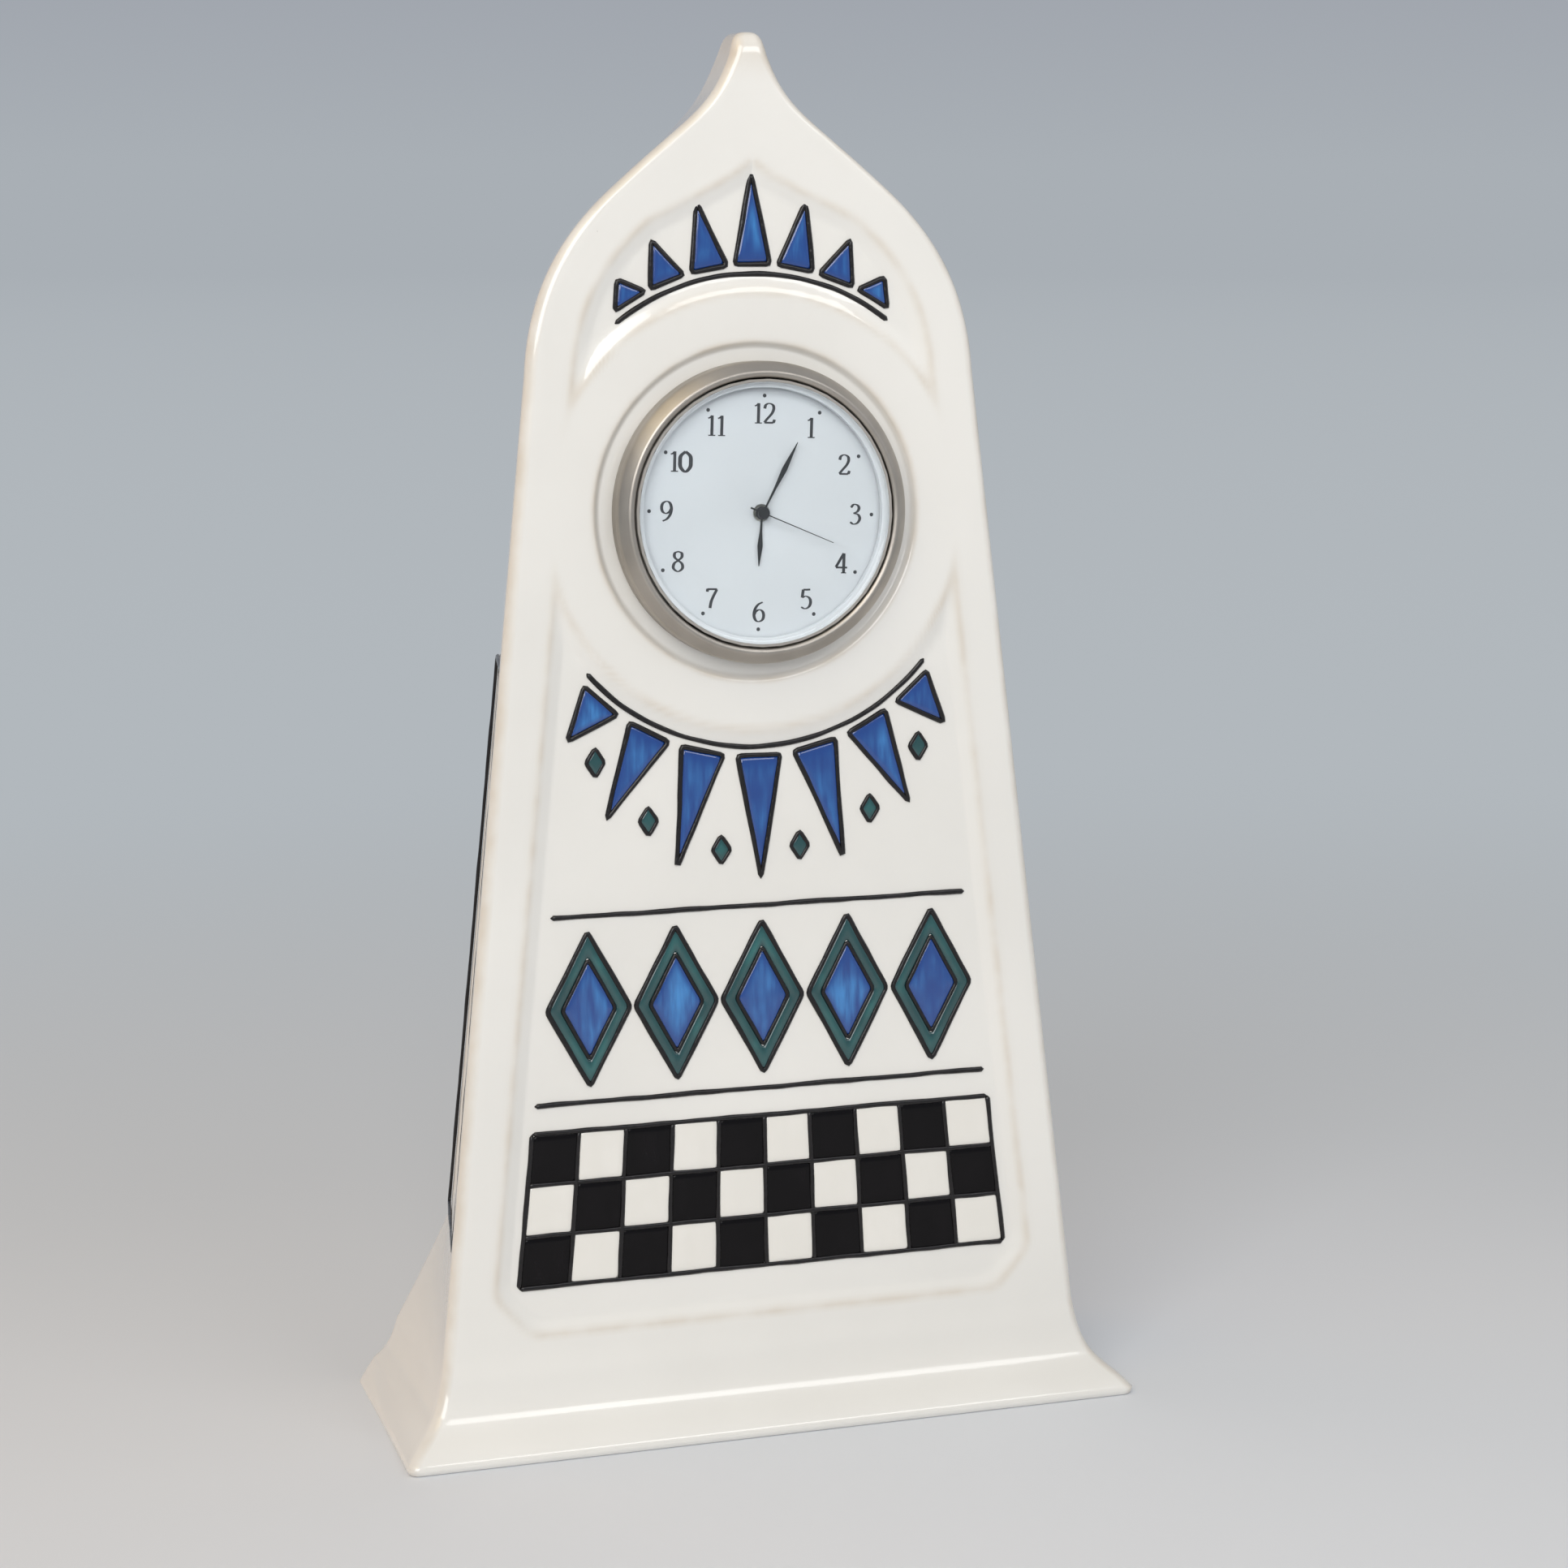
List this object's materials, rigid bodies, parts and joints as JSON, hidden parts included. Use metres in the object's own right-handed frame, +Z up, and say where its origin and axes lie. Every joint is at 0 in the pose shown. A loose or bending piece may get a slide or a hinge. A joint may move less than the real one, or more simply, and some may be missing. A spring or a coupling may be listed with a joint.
{
  "type": "pottery mantel clock",
  "caption": "Tall tapering glazed pottery mantel clock with a spired ogee top, a flared foot, sunk panels and a round push-in quartz clock insert.",
  "frame": {"origin": "middle of the foot, on the surface that the clock stands on", "axes": "+Z up, -Y is the front that the dial faces, +X to the right of someone who looks at the dial"},
  "size_m": [0.1218, 0.0467, 0.22],
  "materials": {
    "glaze": "gloss cream glaze over white clay, with glazed motifs in blue, teal green and black between raised black slip lines",
    "satin_nickel": "spun satin nickel",
    "crystal_glass": "clear, flat, polished edge",
    "dial_white": "matt cool white with black print",
    "black_enamel": "semi-gloss black",
    "black_rubber": "matt",
    "pressed_steel": "plain pressed sheet",
    "bright_steel": "bright",
    "movement_brass": "stamped, fine grained",
    "wheel_plastic": "moulded acetal",
    "dark_plastic": "moulded black",
    "copper_winding": "enamelled copper wire",
    "board_green": "green solder mask",
    "magnet_grey": "sintered magnet"
  },
  "bodies": {
    "case": {"pottery_case": "glaze"},
    "insert": {"bezel": "satin_nickel", "crystal": "crystal_glass", "crystal_gasket": "black_rubber", "dial_spacer": "dial_white", "dial": "dial_white", "insert_cup": "pressed_steel", "grip_ring": "black_rubber", "rear_cover": "pressed_steel", "rear_screw_1": "bright_steel", "rear_screw_2": "bright_steel", "rear_screw_3": "bright_steel", "main_plate": "movement_brass", "train_bridge": "movement_brass", "bridge_screw_1": "bright_steel", "bridge_screw_2": "bright_steel", "bridge_screw_3": "bright_steel", "coil": "copper_winding", "coil_core": "bright_steel", "stator": "bright_steel", "battery": "bright_steel", "circuit_board": "board_green", "contact_negative": "bright_steel", "contact_positive": "bright_steel", "chip": "dark_plastic", "quartz_crystal_can": "bright_steel"},
    "battery_hatch": {"battery_cover": "pressed_steel"},
    "minute": {"cannon_pinion": "movement_brass", "minute_hand": "black_enamel"},
    "hour": {"hour_wheel": "wheel_plastic", "hour_hand": "black_enamel"},
    "minute_gear": {"minute_wheel": "wheel_plastic"},
    "setting": {"setting_stem": "bright_steel", "setting_knob": "dark_plastic"},
    "second": {"second_wheel": "wheel_plastic", "second_hand": "black_enamel"},
    "third": {"third_wheel": "wheel_plastic"},
    "centre": {"centre_wheel": "movement_brass"},
    "intermediate": {"intermediate_wheel": "wheel_plastic"},
    "rotor": {"rotor_pinion": "bright_steel", "rotor_magnet": "magnet_grey"}
  },
  "joints": [
    {"name": "insert_pull", "type": "slide", "parent": "case", "child": "insert", "axis": [0, -0.9988, 0.0488], "range_m": [0, 0.03]},
    {"name": "battery_cover_lift", "type": "slide", "parent": "insert", "child": "battery_hatch", "axis": [0, 0.9988, -0.0488], "range_m": [0, 0.0025]},
    {"name": "minute_turn", "type": "hinge", "parent": "insert", "child": "minute", "pos_m": [0, -0.00874, 0.1465], "axis": [0, 0.9988, -0.0488], "continuous": true},
    {"name": "hour_turn", "type": "hinge", "parent": "insert", "child": "hour", "pos_m": [0, -0.00874, 0.1465], "axis": [0, 0.9988, -0.0488], "continuous": true},
    {"name": "minute_wheel_turn", "type": "hinge", "parent": "insert", "child": "minute_gear", "pos_m": [0.00249, -0.00898, 0.14172], "axis": [0, 0.9988, -0.0488], "continuous": true},
    {"name": "setting_turn", "type": "hinge", "parent": "insert", "child": "setting", "pos_m": [0.00499, -0.00921, 0.13693], "axis": [0, 0.9988, -0.0488], "continuous": true},
    {"name": "second_turn", "type": "hinge", "parent": "insert", "child": "second", "pos_m": [0, -0.00874, 0.1465], "axis": [0, 0.9988, -0.0488], "continuous": true},
    {"name": "third_turn", "type": "hinge", "parent": "insert", "child": "third", "pos_m": [0.00265, -0.00854, 0.15065], "axis": [0, 0.9988, -0.0488], "continuous": true},
    {"name": "centre_turn", "type": "hinge", "parent": "insert", "child": "centre", "pos_m": [0, -0.00874, 0.1465], "axis": [0, 0.9988, -0.0488], "continuous": true},
    {"name": "intermediate_turn", "type": "hinge", "parent": "insert", "child": "intermediate", "pos_m": [-0.00469, -0.00881, 0.14502], "axis": [0, 0.9988, -0.0488], "continuous": true},
    {"name": "rotor_turn", "type": "hinge", "parent": "insert", "child": "rotor", "pos_m": [-0.0088, -0.00888, 0.14373], "axis": [0, 0.9988, -0.0488], "continuous": true}
  ],
  "couplings": [
    {"joint": "hour_turn", "follows": "minute_turn", "ratio": 0.083333},
    {"joint": "minute_wheel_turn", "follows": "minute_turn", "ratio": -0.33333},
    {"joint": "setting_turn", "follows": "minute_turn", "ratio": 1},
    {"joint": "third_turn", "follows": "second_turn", "ratio": -0.13333},
    {"joint": "centre_turn", "follows": "second_turn", "ratio": 0.016667},
    {"joint": "intermediate_turn", "follows": "second_turn", "ratio": -5},
    {"joint": "rotor_turn", "follows": "second_turn", "ratio": 30}
  ]
}
